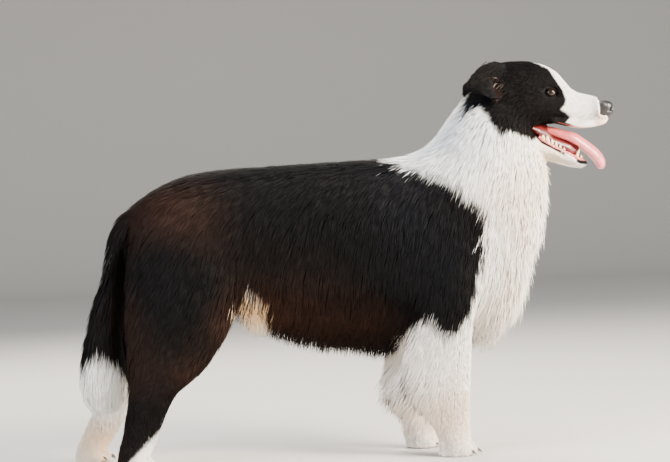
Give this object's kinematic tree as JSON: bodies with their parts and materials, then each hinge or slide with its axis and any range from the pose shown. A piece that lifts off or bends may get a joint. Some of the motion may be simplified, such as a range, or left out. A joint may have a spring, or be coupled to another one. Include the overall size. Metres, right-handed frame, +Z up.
{
  "type": "border collie dog",
  "caption": "Life-size border collie standing in profile with mouth open and tongue out, long black and white coat, hanging tail.",
  "frame": {"origin": "middle of the bounding box, on the floor that the soles stand on", "axes": "+X is the way the dog faces, +Y is its left side, +Z is up"},
  "size_m": [1.0326, 0.2338, 0.7199],
  "materials": {
    "black_coat": "long black hair with a brown sheen",
    "white_coat": "long white hair",
    "nose_leather": "black, damp, pebbled skin",
    "tongue_flesh": "wet pink flesh",
    "eye": "dark brown iris, black pupil, wet and clear over them"
  },
  "bodies": {
    "root": {"trunk": "black_coat", "neck": "white_coat", "head": "black_coat", "jaw": "white_coat", "nose": "nose_leather", "tongue": "tongue_flesh", "eye_left": "eye", "eye_right": "eye", "ear_left": "black_coat", "ear_right": "black_coat", "foreleg_left": "white_coat", "foreleg_right": "white_coat", "forepaw_left": "white_coat", "forepaw_right": "white_coat", "thigh_left": "black_coat", "thigh_right": "black_coat", "shank_left": "black_coat", "shank_right": "black_coat", "hindpaw_left": "white_coat", "hindpaw_right": "white_coat", "tail_base": "black_coat", "tail_middle": "black_coat", "tail_tip": "white_coat"}
  },
  "joints": []
}
